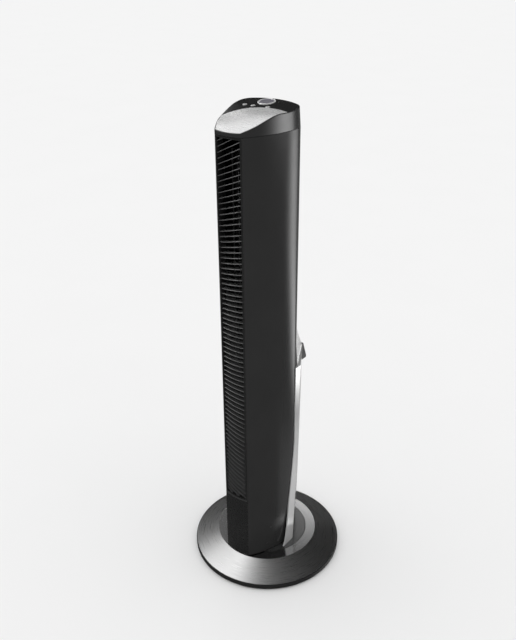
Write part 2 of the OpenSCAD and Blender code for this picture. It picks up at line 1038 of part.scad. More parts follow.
// Column shape above the seam. Its sides and back lean in towards the top.
module cap_cones(inset) {
  h = cap_top - cap_z + 1;
  lean = cap_draft * h / (cap_top - cap_z);
  translate([0, 0, cap_z - 1])
    intersection() {
      cylinder(r = front_r + 1.5 - inset, h = h + 1);
      for (side = [-1, 1])
        intersection() {
          translate([-side * side_cx, corner_y, 0])
            cylinder(r1 = side_r - inset, r2 = side_r - inset - lean, h = h + 1);
          translate([side * side_cx, corner_y, 0])
            cylinder(r1 = side_r - inset, r2 = side_r - inset - lean, h = h + 1);
        }
      union() {
        translate([-far / 2, -far / 2, 0])
          cube([far, far / 2 + corner_y, h + 1]);
        for (side = [-1, 1])
          translate([side * corner_x, corner_y, 0])
            cylinder(r1 = corner_r - inset, r2 = corner_r - inset - lean, h = h + 1);
        intersection() {
          translate([0, rear_cy, 0])
            cylinder(r1 = rear_r - inset, r2 = rear_r - inset - lean, h = h + 1);
          linear_extrude(h + 1)
            rear_wedge(rear_angle);
        }
      }
    }
}

// Space between two depths below the sloping top of the cap.
// Space between two depths below the sloping top of the cap.
module cap_band(z_low, drop) {
  y0 = lip_y - 10;
  y1 = rear_y + 10;
  rotate([90, 0, 90])
    linear_extrude(far, center = true)
      polygon([[y0, z_low], [y0, cap_front_z + plate_slope * (y0 - lip_y) - drop],
               [crease_y, crease_z - drop],
               [y1, crease_z + panel_slope * (y1 - crease_y) - drop], [y1, z_low]]);
}

module cap_block(inset, z_low, drop) {
  intersection() {
    cap_cones(inset);
    cap_band(z_low, drop);
  }
}

module arc_cut(r) {
  translate([arc_place[0], arc_place[1], 0])
    cylinder(r = r, h = far * 3);
}

// A cover skin that lies on the cap.
module cap_skin() {
  difference() {
    cap_block(cap_wall - 0.6, cap_z, 0);
    cap_band(0, skin_t);
  }
}

module top_cap() {
  color("#262729")
    difference() {
      cap_block(0, cap_z, 0);
      cap_block(cap_wall, cap_z - 0.5, skin_t + 2.2);
      difference() {
        cap_block(cap_wall - 0.7, cap_z, -5);
        cap_band(0, skin_t);
      }
      intersection() {
        cap_cones(cap_wall + 0.8);
        on_panel()
          translate([pocket_x[0], pocket_y[0], -pocket_depth])
            cube([pocket_x[1] - pocket_x[0], pocket_y[1] - pocket_y[0], pocket_depth]);
      }
    }
}

// Openings for the controls, shared by the two covers.
module control_holes() {
  on_panel() {
    translate([ring_pos[0], ring_pos[1], -10])
      cylinder(r = power_r + button_gap, h = 20);
    for (pos = small_buttons)
      translate([pos[0], pos[1], -10])
        cylinder(r = small_r + button_gap, h = 20);
    translate([receiver_pos[0], receiver_pos[1], -10])
      cylinder(r = receiver_r + 0.1, h = 20);
  }
}

module cap_plate() {
  color("#d9dadb")
    difference() {
      intersection() {
        cap_skin();
        arc_cut(arc_r - 0.1);
      }
      control_holes();
    }
}

// Moves its children into the plane of the control panel.
module on_panel() {
  translate([0, crease_y, crease_z])
    rotate([panel_tilt, 0, 0])
      children();
}

module control_panel() {
  color("#17181a")
    difference() {
      cap_skin();
      arc_cut(arc_r);
      control_holes();
    }
}

module display_ring() {
  color("#e3e4e6")
    on_panel()
      translate([ring_pos[0], ring_pos[1], 0])
        ring(ring_r, power_r + button_gap, 0, 1.4);
}

module circuit_board() {
  color("#2e6b3c")
    on_panel()
      translate([board_x[0], board_y[0], -board_drop - board_t])
        cube([board_x[1] - board_x[0], board_y[1] - board_y[0], board_t]);
}

module tact_switches() {
  color("#202020")
    on_panel()
      for (pos = concat([ring_pos], small_buttons))
        translate([pos[0], pos[1], -board_drop]) {
          translate([-3, -3, 0])
            cube([6, 6, 1.8]);
          cylinder(r = 1.7, h = 2.6);
        }
}

module remote_receiver() {
  color("#111111")
    on_panel()
      translate([receiver_pos[0], receiver_pos[1], -board_drop])
        cylinder(r = receiver_r, h = board_drop + 0.2);
}

// A round button: cap, retaining flange under the panel and a stem over its switch.
module button(pos, r) {
  on_panel()
    translate([pos[0], pos[1], 0]) {
      translate([0, 0, -skin_t - 0.5])
        cylinder(r = r, h = skin_t + 0.5 + button_rise);
      translate([0, 0, -skin_t - 1.6])
        cylinder(r = r + flange_w, h = 1.2);
      translate([0, 0, -4.3])
        cylinder(r = stem_r, h = 2);
    }
}

module power_button() {
  color("#202226")
    button(ring_pos, power_r);
}

module speed_button() {
  color("#b9bbbd")
    button(speed_pos, small_r);
}

module timer_button() {
  color("#b9bbbd")
    button(timer_pos, small_r);
}

module swing_button() {
  color("#b9bbbd")
    button(swing_pos, small_r);
}

base_tray();
base_cover();
plateau_ring();
ballast_ring();
rubber_feet();
base_screws();
pivot_post();
fixed_gear();
thrust_washer();
retaining_clip();
cord_gland();
turntable_disc();
pivot_bush();
stand_screws();
bottom_plate();
side_panel_left();
side_panel_right();
rear_grille();
front_panel();
grille_trim();
grille_frame();
grille_slats();
grille_rib();
casing_screws();
stand_arm();
arm_shoulder();
carry_grip();
oscillation_motor();
oscillation_screws();
power_board();
motor_capacitor();
motor_plate();
motor_mounts();
motor_screws();
motor_housing();
motor_end_cap();
motor_stator();
motor_windings();
motor_bearings();
air_guide();
air_tongue();
bearing_plate();
bearing_rubber();
top_bearing();
top_cap();
cap_plate();
control_panel();
display_ring();
circuit_board();
tact_switches();
remote_receiver();
blower_wheel();
wheel_stub();
motor_shaft();
motor_rotor();
drive_pinion();
power_button();
speed_button();
timer_button();
swing_button();
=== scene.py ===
"""Tower fan: the looks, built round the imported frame.

Shapes are worked out in millimetres, in the frame's own axes: +Z up, the outlet faces -Y.
piece() turns them into metres. Each function below makes one sub-part or one material.
"""
import json
import math

import bmesh
import bpy
from mathutils import Matrix, Vector


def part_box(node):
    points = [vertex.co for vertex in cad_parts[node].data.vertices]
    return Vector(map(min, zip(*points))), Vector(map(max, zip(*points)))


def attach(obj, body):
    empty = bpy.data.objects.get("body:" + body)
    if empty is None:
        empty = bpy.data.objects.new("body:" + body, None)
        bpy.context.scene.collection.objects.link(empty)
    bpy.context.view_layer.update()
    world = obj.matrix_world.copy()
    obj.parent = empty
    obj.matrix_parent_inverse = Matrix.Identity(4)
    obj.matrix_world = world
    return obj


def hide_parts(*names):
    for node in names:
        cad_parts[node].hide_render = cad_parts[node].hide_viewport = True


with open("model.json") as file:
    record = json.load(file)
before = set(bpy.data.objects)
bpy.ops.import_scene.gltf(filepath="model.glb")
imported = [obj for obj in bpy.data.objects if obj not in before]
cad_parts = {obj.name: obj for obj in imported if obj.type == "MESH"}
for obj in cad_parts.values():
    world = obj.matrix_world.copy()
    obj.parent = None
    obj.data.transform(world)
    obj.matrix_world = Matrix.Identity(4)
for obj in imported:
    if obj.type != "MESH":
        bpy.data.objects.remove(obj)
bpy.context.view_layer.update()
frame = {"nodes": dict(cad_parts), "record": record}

MM = 0.001

BODY_OF = {n: b for b, names in frame["record"]["behaviour"]["bodies"].items() for n in names}
SLOT_OF = {p["node"]: p["material_slot"] for p in frame["record"]["subparts"]}


def low(node):
    """Lowest corner of a CAD node, in millimetres."""
    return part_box(node)[0] / MM


def high(node):
    """Highest corner of a CAD node, in millimetres."""
    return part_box(node)[1] / MM


# ---------- driving dimensions, as in the CAD ----------

FRONT_R = 115
SIDE_R = 190.3
REAR_R = 125
CORNER_R = 25
CORNER_X = 43
CORNER_Y = 3.3
SIDE_CX = SIDE_R - CORNER_R - CORNER_X
REAR_CY = CORNER_Y - math.sqrt((REAR_R - CORNER_R) ** 2 - CORNER_X ** 2)
REAR_ANGLE = math.atan2(CORNER_X, CORNER_Y - REAR_CY)
WALL = 2.5
CAP_FRONT_R = FRONT_R + 1.5
FRONT_ANGLE = math.asin(30.3 / FRONT_R) - math.radians(0.25)
REAR_HALF = high("rear_grille").x + 0.2

CASING_Z = low("front_panel").z
SEAM_Z = high("side_panel_right").z
BASE_R = high("base_tray").x
FOOT_Z = low("base_tray").z
RIM_Z = high("base_tray").z
COVER_Z = RIM_Z + 0.2
COVER_R = BASE_R - 0.5
PLATEAU_Z = high("plateau_ring").z
PLATEAU_R = 115.2
DISC_R = high("turntable_disc").x
DISC_Z = low("turntable_disc").z
POST_HOLE_R = 9
BAND_T = 2.5

CAP_Z = low("top_cap").z
CAP_FRONT_Z = 999
LIP_Y = -FRONT_R
CREASE_Y = -14
PLATE_SLOPE = 0.25
PANEL_SLOPE = 0.13
CREASE_Z = CAP_FRONT_Z + PLATE_SLOPE * (CREASE_Y - LIP_Y)
CAP_TOP = high("top_cap").z
CAP_DRAFT = 2.5
CAP_WALL = 2.2
NOSE_Y = -42
NOSE_LENGTH = 73
NOSE_CURVE = 1.5
PLATE_LEAN = 0.08
LEAN_Y = -55
LEAN_REACH = 50
ARC = (21.5, -91.8)
ARC_R = 80.5
PANEL_TILT = math.atan(PANEL_SLOPE)

DIAL = (-11, 29.7)
DIAL_R = 17
POWER_R = 13.5
SMALL_R = 4.6
SPEED = (-40, 1.8)
TIMER = (-21.7, 2.6)
SWING = (10, 4.7)
RECEIVER = (12, 36)
RECEIVER_R = 2.4
BUTTON_RISE = 1.2

SLAT_COUNT = 72
SLAT_FRONT_R = FRONT_R - 1.4
SLAT_BACK_R = 100.4
SLAT_T = 1.8
SLAT_ROLL = math.radians(27)
ROLL_Z = 600
SLAT_SINK = math.radians(31)
SINK_Z = 520
FRAME_LOW = low("grille_frame").z
FRAME_HIGH = high("grille_frame").z
FRAME_BORDER = 4
OPENING_ANGLE = math.asin((30.3 - FRAME_BORDER) / FRONT_R)
SLAT_Z0 = FRAME_LOW + FRAME_BORDER + 4
SLAT_Z1 = FRAME_HIGH - FRAME_BORDER - 5

ARM_TOP = high("stand_arm").z
ARM_BEND_Z = 150
ARM_HALF = 76
ARM_TAPER = 6
ARM_FRONT_Y = -38
ARM_SWEEP = 48.8
ARM_SWEEP_Z = 296
ARM_EDGE_STOP = 8
ARM_FOOT_Y = 89
ARM_TOP_Y = 105
ARM_CORNER_FOOT = -2
ARM_CORNER_BEND = 14
ARM_CORNER_TOP = 25
SPINE_HALF = 20
SHOULDER_Z = low("arm_shoulder").z
SHOULDER_TOP = high("arm_shoulder").z
GRIP_Z = low("carry_grip").z
CASING_SCREW_X = 53.5
CASING_SCREW_Y = 24
CASING_SCREW_R = 1.6
CASING_SCREW_ZS = (90, 400, 700, 975)
SIDE_SCREWS = ((-61, 105), (-71, 62))


# ---------- mesh helpers ----------

def piece(name, verts, faces, smooth=30):
    """A mesh object from points in millimetres, smooth-shaded up to an edge angle."""
    mesh = bpy.data.meshes.new(name)
    mesh.from_pydata([Vector(v) * MM for v in verts], [], faces)
    bm = bmesh.new()
    bm.from_mesh(mesh)
    bmesh.ops.remove_doubles(bm, verts=bm.verts, dist=0.002 * MM)
    bmesh.ops.dissolve_degenerate(bm, edges=bm.edges, dist=0.001 * MM)
    bmesh.ops.recalc_face_normals(bm, faces=bm.faces)
    bm.to_mesh(mesh)
    bm.free()
    shade(mesh, smooth)
    obj = bpy.data.objects.new(name, mesh)
    bpy.context.scene.collection.objects.link(obj)
    return obj


def shade(mesh, smooth=30):
    """Smooth shading, with edges over the angle left sharp."""
    mesh.shade_smooth()
    mesh.set_sharp_from_angle(angle=math.radians(smooth))


def stands_for(obj, node, material):
    """obj is the finished look of a CAD node: it hides the node, rides on the same body and takes the
    given material.
    """
    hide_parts(node)
    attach(obj, BODY_OF[node])
    normals = obj.modifiers.new("even_normals", "WEIGHTED_NORMAL")
    normals.keep_sharp = True
    obj.data.materials.clear()
    obj.data.materials.append(material)
    return obj


def apply_modifiers(obj):
    """Makes the result of the modifiers the object's own mesh."""
    graph = bpy.context.evaluated_depsgraph_get()
    made = bpy.data.meshes.new_from_object(obj.evaluated_get(graph))
    obj.modifiers.clear()
    old = obj.data
    obj.data = made
    made.name = obj.name
    bpy.data.meshes.remove(old)


def cut(obj, *tools):
    """Takes the tools' volume away from obj, and deletes the tools."""
    for tool in tools:
        modifier = obj.modifiers.new("cut", "BOOLEAN")
        modifier.operation = "DIFFERENCE"
        modifier.solver = "EXACT"
        modifier.object = tool
    apply_modifiers(obj)
    for tool in tools:
        bpy.data.objects.remove(tool)
    return obj


def soften(obj, width, segments=2, angle=30):
    """Rounds the hard edges by width, in millimetres."""
    modifier = obj.modifiers.new("edge", "BEVEL")
    modifier.width = width * MM
    modifier.segments = segments
    modifier.limit_method = "ANGLE"
    modifier.angle_limit = math.radians(angle)
    modifier.use_clamp_overlap = True
    apply_modifiers(obj)
    shade(obj.data, 40)
    return obj


def loops(rings, closed=True):
    """Quads between successive closed rings of points; closed also joins the last to the first."""
    count = len(rings[0])
    verts = [p for ring in rings for p in ring]
    faces = []
    last = len(rings) if closed else len(rings) - 1
    for r in range(last):
        a, b = r * count, (r + 1) % len(rings) * count
        for i in range(count):
            j = (i + 1) % count
            faces.append((a + i, a + j, b + j, b + i))
    return verts, faces


def stack(rings):
    """A closed solid through successive rings, with flat ends."""
    verts, faces = loops(rings, closed=False)
    count = len(rings[0])
    faces.append(tuple(range(count)))
    faces.append(tuple(range(len(verts) - count, len(verts))))
    return verts, faces


def at_height(points, z):
    return [(x, y, z) for x, y in points]


def arc(cx, cy, r, start, end, steps):
    """Points on a circle from angle start to end, in radians, both ends included."""
    return [(cx + r * math.cos(start + (end - start) * i / steps),
             cy + r * math.sin(start + (end - start) * i / steps)) for i in range(steps + 1)]


def fillet(points, radii, steps=4):
    """Closed outline with its corners rounded; radii is one number or one for each corner."""
    if not hasattr(radii, "__len__"):
        radii = [radii] * len(points)
    out = []
    for i, here in enumerate(points):
        corner = Vector(here)
        before = Vector(points[i - 1]) - corner
        after = Vector(points[(i + 1) % len(points)]) - corner
        r = radii[i]
        if r <= 0 or before.length < 1e-9 or after.length < 1e-9:
            out.append(tuple(corner))
            continue
        half = before.angle(after) / 2
        reach = min(r / math.tan(half), 0.45 * before.length, 0.45 * after.length)
        p0 = corner + before.normalized() * reach
        p2 = corner + after.normalized() * reach
        for k in range(steps + 1):
            t = k / steps
            weight = math.sin(half)
            bottom = (1 - t) ** 2 + 2 * weight * t * (1 - t) + t ** 2
            out.append(tuple(((1 - t) ** 2 * p0 + 2 * weight * t * (1 - t) * corner + t ** 2 * p2)
                             / bottom))
    return out


def lathe(profile, segments=192, centre=(0, 0)):
    """Turns a closed (radius, height) outline round an upright axis."""
    rings = []
    for i in range(segments):
        a = 2 * math.pi * i / segments
        rings.append([(centre[0] + r * math.cos(a), centre[1] + r * math.sin(a), z)
                      for r, z in profile])
    return loops(rings)


def turned(profile, segments=96):
    """Turns an open (radius, height) outline that starts and ends on the axis."""
    inner = [p for p in profile if p[0] > 1e-6]
    verts = []
    for i in range(segments):
        a = 2 * math.pi * i / segments
        verts += [(r * math.cos(a), r * math.sin(a), z) for r, z in inner]
    n = len(inner)
    faces = []
    for i in range(segments):
        j = (i + 1) % segments
        faces += [(i * n + k, j * n + k, j * n + k + 1, i * n + k + 1) for k in range(n - 1)]
    verts += [(0, 0, profile[0][1]), (0, 0, profile[-1][1])]
    first, end = len(verts) - 2, len(verts) - 1
    for i in range(segments):
        j = (i + 1) % segments
        faces.append((first, j * n, i * n))
        faces.append((end, i * n + n - 1, j * n + n - 1))
    return verts, faces


def rod(place, direction, radius, length, segments=32):
    """A cutting cylinder centred on place."""
    turn = Vector(direction).to_track_quat("Z", "Y").to_matrix()
    rings = []
    for z in (-length / 2, length / 2):
        rings.append([tuple(Vector(place) + turn @ Vector((x, y, z)))
                      for x, y in arc(0, 0, radius, 0, 2 * math.pi * (1 - 1 / segments), segments - 1)])
    return piece("tool", *stack(rings))


def between(a, b, t):
    return a + (b - a) * t


# ---------- plan of the column ----------

def half_outline(inset=0, front_r=FRONT_R):
    """Right half of the column's plan, from the front corner to the middle of the back."""
    fr, sr = front_r - inset, SIDE_R - inset
    # where the front circle meets the side circle
    gap = math.hypot(SIDE_CX, CORNER_Y)
    along = (fr ** 2 - sr ** 2 + gap ** 2) / (2 * gap)
    off = math.sqrt(fr ** 2 - along ** 2)
    ux, uy = -SIDE_CX / gap, CORNER_Y / gap
    corner = (along * ux - off * uy, along * uy + off * ux)
    start = math.asin((corner[1] - CORNER_Y) / sr)
    points = arc(-SIDE_CX, CORNER_Y, sr, start, 0, 36)
    quarter = math.pi / 2 - REAR_ANGLE
    points += arc(CORNER_X, CORNER_Y, CORNER_R - inset, 0, quarter, 14)[1:]
    points += arc(0, REAR_CY, REAR_R - inset, quarter, math.pi / 2, 16)[1:]
    return points


def mirrored(points):
    return [(-x, y) for x, y in reversed(points)]


def front_arc(inset=0, front_r=FRONT_R, steps=24):
    """Front face from the left corner to the right one, without its ends."""
    x, y = half_outline(inset, front_r)[0]
    half = math.atan2(x, -y)
    return arc(0, 0, math.hypot(x, y), -math.pi / 2 - half, -math.pi / 2 + half, steps)[1:-1]


def outline(inset=0, front_r=FRONT_R):
    """The whole plan, anticlockwise from the front right corner."""
    right = half_outline(inset, front_r)
    return right + mirrored(right)[1:] + front_arc(inset, front_r)


def casing_prism():
    """A cutting solid a little larger than the casing."""
    plan = outline(-0.2)
    return piece("tool", *stack([at_height(plan, PLATEAU_Z - 5), at_height(plan, 1200)]))


# ---------- base ----------

def base_rim(material):
    """Tray with the thin dark rim, the cord's inlet and four screw holes."""
    inner_r, floor_z = BASE_R - 3, FOOT_Z + 2.5
    profile = fillet([(POST_HOLE_R, FOOT_Z), (BASE_R, FOOT_Z), (BASE_R, RIM_Z), (inner_r, RIM_Z),
                      (inner_r, floor_z), (POST_HOLE_R, floor_z)],
                     [0, 1.2, 1.0, 0.4, 0.6, 0])
    obj = piece("base_rim", *lathe(profile, 256))
    inlet_z, inlet_r, screw_ring_r, screw_r, reach = 10, 3.9, 128, 2.1, 12
    tools = [rod((0, BASE_R, inlet_z), (0, 1, 0), inlet_r, reach)]
    for i in range(4):
        a = math.radians(45 + 90 * i)
        x, y = screw_ring_r * math.cos(a), screw_ring_r * math.sin(a)
        tools.append(rod((x, y, FOOT_Z), (0, 0, 1), screw_r, reach))
    cut(obj, *tools)
    shade(obj.data)
    return stands_for(obj, "base_tray", material)


def base_cone(material):
    """Brushed cone, the step down to the turntable's seat, and the gear well."""
    lip_r, deck_z = PLATEAU_R - 0.3, PLATEAU_Z - BAND_T
    seat_r, seat_z, well_r, well_z, skin = DISC_R + 0.5, deck_z - 2, 56, 26, 2.5
    profile = fillet([(COVER_R, COVER_Z), (PLATEAU_R, PLATEAU_Z), (lip_r, PLATEAU_Z),
                      (lip_r, deck_z), (seat_r, deck_z), (seat_r, seat_z), (well_r, seat_z),
                      (well_r, well_z), (POST_HOLE_R, well_z), (POST_HOLE_R, well_z - skin),
                      (well_r + skin, well_z - skin), (well_r + skin, seat_z - skin),
                      (seat_r + skin, seat_z - skin),
                      (lip_r - 1, deck_z - skin), (COVER_R - 6, COVER_Z)],
                     [0.3, 0.12, 0.12, 0.2, 0.2, 0.2, 0.4, 0.4, 0, 0, 1, 1, 1, 1, 0.3])
    return stands_for(piece("base_cone", *lathe(profile, 256)), "base_cover", material)


def plateau_band(material):
    """Flat ring between the cone and the turntable, with softened edges."""
    outer_r, inner_r, under = PLATEAU_R - 0.5, DISC_R + 0.7, PLATEAU_Z - BAND_T
    profile = fillet([(outer_r, under), (outer_r, PLATEAU_Z), (inner_r, PLATEAU_Z),
                      (inner_r, under)], [0.2, 0.35, 0.35, 0.2])
    return stands_for(piece("plateau_band", *lathe(profile, 256)), "plateau_ring", material)


def turntable(material):
    """Disc with a softened edge, a raised pad under the casing and the post's sleeve."""
    top, bore_r, pad_r, pad_z = PLATEAU_Z, 17, 44, CASING_Z - 0.1
    sleeve_r, sleeve_z = 22, CASING_Z + 2
    profile = fillet([(bore_r, DISC_Z), (DISC_R, DISC_Z), (DISC_R, top), (pad_r, top),
                      (pad_r, pad_z), (sleeve_r, pad_z), (sleeve_r, sleeve_z), (bore_r, sleeve_z)],
                     [0, 0.3, 0.6, 0.5, 0.5, 0.2, 0.4, 0.2])
    return stands_for(piece("turntable", *lathe(profile, 192)), "turntable_disc", material)


# ---------- casing ----------

def casing_side(side, material):
    """One long side shell with rounded edges and its screw holes."""
    outer = [p for p in half_outline() if p[1] < CORNER_Y or p[0] > REAR_HALF]
    inner = [p for p in half_outline(WALL) if p[1] < CORNER_Y or p[0] > REAR_HALF]
    rear = [(REAR_HALF, CORNER_Y + math.sqrt((CORNER_R - d) ** 2 - (REAR_HALF - CORNER_X) ** 2))
            for d in (0, WALL)]
    lip = [(r * math.sin(FRONT_ANGLE), -r * math.cos(FRONT_ANGLE)) for r in (FRONT_R, FRONT_R - WALL)]
    plan = [lip[0]] + outer + rear + list(reversed(inner)) + [lip[1]]
    plan = [(side * x, y) for x, y in plan]
    obj = piece("casing_side_" + ("right" if side > 0 else "left"),
                *stack([at_height(plan, CASING_Z), at_height(plan, SEAM_Z)]))
    soften(obj, 0.55, 3, 25)
    back = side * CASING_SCREW_X
    tools = [rod((back, CASING_SCREW_Y, z), (0, 1, 0), CASING_SCREW_R, 16, 20)
             for z in CASING_SCREW_ZS]
    for y, z in SIDE_SCREWS:
        turn = math.asin((y - CORNER_Y) / SIDE_R)
        out = (side * math.cos(turn), math.sin(turn), 0)
        tools.append(rod((side * (SIDE_R * math.cos(turn) - SIDE_CX), y, z), out, CASING_SCREW_R,
                         12, 20))
    cut(obj, *tools)
    shade(obj.data, 32)
    return stands_for(obj, "side_panel_" + ("right" if side > 0 else "left"), material)


def lower_front(material):
    """Gloss panel under the outlet."""
    half = FRONT_ANGLE - math.radians(0.15)
    top = high("front_panel").z
    outer = arc(0, 0, FRONT_R, -math.pi / 2 - half, -math.pi / 2 + half, 24)
    inner = arc(0, 0, FRONT_R - WALL, -math.pi / 2 + half, -math.pi / 2 - half, 24)
    obj = piece("lower_front", *stack([at_height(outer + inner, CASING_Z),
                                       at_height(outer + inner, top)]))
    soften(obj, 0.45, 3, 40)
    return stands_for(obj, "front_panel", material)


def slat_tilt(z):
    """Lean of a slat: level in the middle, one way towards the top and the other way below."""
    if z < SINK_Z:
        return -SLAT_SINK * (SINK_Z - z) / (SINK_Z - FRAME_LOW)
    return max(0, (z - ROLL_Z) / (SLAT_Z1 - ROLL_Z)) * SLAT_ROLL


def outlet_slats(material):
    """Blades with rounded front and back edges, trimmed where they meet the frame."""
    half_t = SLAT_T / 2
    section = fillet([(SLAT_FRONT_R, -half_t), (SLAT_FRONT_R, half_t),
                      (SLAT_BACK_R, half_t * 0.7), (SLAT_BACK_R, -half_t * 0.7)],
                     [0.8, 0.8, 0.5, 0.5], 3)
    pitch = (SLAT_Z1 - SLAT_Z0) / (SLAT_COUNT - 1)
    half = OPENING_ANGLE - math.radians(0.05)
    steps = 12
    bm = bmesh.new()
    for i in range(-1, SLAT_COUNT + 1):
        z = SLAT_Z0 + i * pitch
        lean = math.tan(slat_tilt(z))
        rings = []
        for k in range(steps + 1):
            a = between(-half, half, k / steps)
            rings.append([(r * math.sin(a), -r * math.cos(a), z + r * math.sin(a) * lean + dz)
                          for r, dz in section])
        verts, faces = stack(rings)
        made = [bm.verts.new(Vector(v) * MM) for v in verts]
        for f in faces:
            bm.faces.new([made[k] for k in f])
    for height, way in ((FRAME_HIGH - FRAME_BORDER - 0.2, 1), (FRAME_LOW + FRAME_BORDER + 0.2, -1)):
        everything = list(bm.verts) + list(bm.edges) + list(bm.faces)
        cut_line = bmesh.ops.bisect_plane(bm, geom=everything, plane_co=(0, 0, height * MM),
                                          plane_no=(0, 0, way), clear_outer=True)
        edges = [g for g in cut_line["geom_cut"] if isinstance(g, bmesh.types.BMEdge)]
        bmesh.ops.holes_fill(bm, edges=edges)
    bmesh.ops.recalc_face_normals(bm, faces=bm.faces)
    mesh = bpy.data.meshes.new("outlet_slats")
    bm.to_mesh(mesh)
    bm.free()
    shade(mesh, 40)
    obj = bpy.data.objects.new("outlet_slats", mesh)
    bpy.context.scene.collection.objects.link(obj)
    return stands_for(obj, "grille_slats", material)


# ---------- stand arm ----------

def arm_edge(z):
    """Distance of the arm's front edge behind the column axis."""
    rise = (max(z, PLATEAU_Z) - PLATEAU_Z) / ARM_SWEEP_Z
    return min(ARM_EDGE_STOP, ARM_FRONT_Y + ARM_SWEEP * rise ** 0.56)


def arm_back(z):
    """Distance of the arm's spine behind the column axis."""
    rise = (max(z, PLATEAU_Z) - PLATEAU_Z) / (ARM_TOP - PLATEAU_Z)
    return ARM_FOOT_Y + (ARM_TOP_Y - ARM_FOOT_Y) * rise ** 0.6


def arm_foot_share(z):
    """0 at the plateau, 1 from the bend upwards."""
    return min(1, (z - PLATEAU_Z) / (ARM_BEND_Z - PLATEAU_Z))


def arm_width(z):
    """Half of the arm's width."""
    return ARM_HALF - ARM_TAPER * arm_foot_share(z)


def arm_corner(z):
    """Where the side walls end and the slanting ones begin, behind the column axis."""
    foot = (ARM_CORNER_BEND - ARM_CORNER_FOOT) * arm_foot_share(z)
    top_share = max(0, (z - ARM_BEND_Z) / (ARM_TOP - ARM_BEND_Z))
    return ARM_CORNER_FOOT + foot + (ARM_CORNER_TOP - ARM_CORNER_BEND) * top_share


def arm_plan(z, inset, front):
    """Six-cornered section of the arm, from a front edge that is cut away later."""
    spine, side = SPINE_HALF - inset * 0.5, arm_width(z) - inset
    bend, back = arm_corner(z), arm_back(z) - inset
    corners = [(-side, front), (side, front), (side, bend), (spine, back),
               (-spine, back), (-side, bend)]
    return fillet(corners, [0, 0, 2, 2, 2, 2], 5)


def arm_heights(z0, z1, steps):
    """Heights that lie closer together near the foot, where the edge sweeps fastest."""
    return [between(z0, z1, (k / steps) ** 1.6) for k in range(steps + 1)]


def arm_front_tool():
    """Everything in front of the arm's swept edge."""
    reach, behind = 200, -400
    heights = [PLATEAU_Z - 1] + arm_heights(PLATEAU_Z, ARM_TOP + 1, 48)
    edge = [(arm_edge(z), z) for z in heights]
    section = edge + [(behind, ARM_TOP + 1), (behind, PLATEAU_Z - 1)]
    rings = [[(x, y, z) for y, z in section] for x in (-reach, reach)]
    return piece("tool", *stack(rings))


def arm_shell(material):
    """Open shell behind the casing, with its front edge swept back towards the top."""
    thick, front = 3, -60
    outer = [at_height(arm_plan(z, 0, front), z) for z in arm_heights(PLATEAU_Z, ARM_TOP, 20)]
    hollow = [at_height(arm_plan(z, thick, front - 10), z)
              for z in arm_heights(PLATEAU_Z - 1, ARM_TOP - thick, 20)]
    obj = piece("arm_shell", *stack(outer))
    cut(obj, piece("tool", *stack(hollow)), casing_prism(), arm_front_tool())
    shade(obj.data, 25)
    return stands_for(obj, "stand_arm", material)


def shoulder_plan(t):
    """Section of the fairing, t from 0 at its foot to 1 at its tip."""
    foot_half, tip_half, tip_spine, front_y, foot_y = 67, 22, 12, 18, ARM_TOP_Y - 1
    half = between(foot_half, tip_half, t ** 1.8)
    spine = between(SPINE_HALF, tip_spine, t)
    back = between(foot_y, high("rear_grille").y + 0.6, t ** 0.837)
    return fillet([(-half, front_y), (half, front_y), (spine, back), (-spine, back)],
                  [2, 2, 5, 5], 5)


def shoulder_shell(material):
    """Fairing that narrows from the arm's top to a tip on the casing's back."""
    steps = 24
    rings = []
    for k in range(steps + 1):
        t = k / steps
        rings.append(at_height(shoulder_plan(t), between(SHOULDER_Z, SHOULDER_TOP, t)))
    obj = piece("shoulder_shell", *stack(rings))
    cut(obj, casing_prism())
    shade(obj.data, 25)
    return stands_for(obj, "arm_shoulder", material)


def grip_wedge(material):
    """Wedge on the spine with a flat ledge underneath."""
    half, out, ledge_t, top_t, gap = SPINE_HALF - 0.5, high("carry_grip").y, 5, 4, 0.2
    spine_top = arm_back(ARM_TOP)
    section = fillet([(arm_back(GRIP_Z) + gap, GRIP_Z), (out, GRIP_Z), (out, GRIP_Z + ledge_t),
                      (spine_top + top_t, ARM_TOP), (spine_top + gap, ARM_TOP)],
                     [0.5, 1.6, 1.2, 1.2, 0.3], 5)
    rings = [[(x, y, z) for y, z in section] for x in (-half, half)]
    obj = piece("grip_wedge", *stack(rings))
    soften(obj, 0.9, 3, 40)
    return stands_for(obj, "carry_grip", material)


# ---------- cap ----------

def cap_height(x, y):
    """Height of the sloping top: flat at the back, rolling down at the nose, leaning left."""
    panel = CREASE_Z + PANEL_SLOPE * (y - CREASE_Y)
    fall = CREASE_Z + PANEL_SLOPE * (LIP_Y - CREASE_Y) - CAP_FRONT_Z
    t = min(1, max(0, (NOSE_Y - y) / NOSE_LENGTH))
    nose = fall * t ** NOSE_CURVE
    near = max(-1, min(1, (y - LEAN_Y) / LEAN_REACH))
    return panel - nose + PLATE_LEAN * x * math.cos(math.pi / 2 * near) ** 2


def cap_ring(inset, drop):
    """The cap's outline at a distance below its sloping top, leaning in with height."""
    upright_y = -105
    points = []
    for x, y in outline(inset, CAP_FRONT_R):
        z = cap_height(x, y) - drop
        lean = CAP_DRAFT * (z - CAP_Z) / (CAP_TOP - CAP_Z)
        scale = 1 - lean / math.hypot(x, y) if y > upright_y else 1
        points.append((x * scale, y * scale, z))
    return points


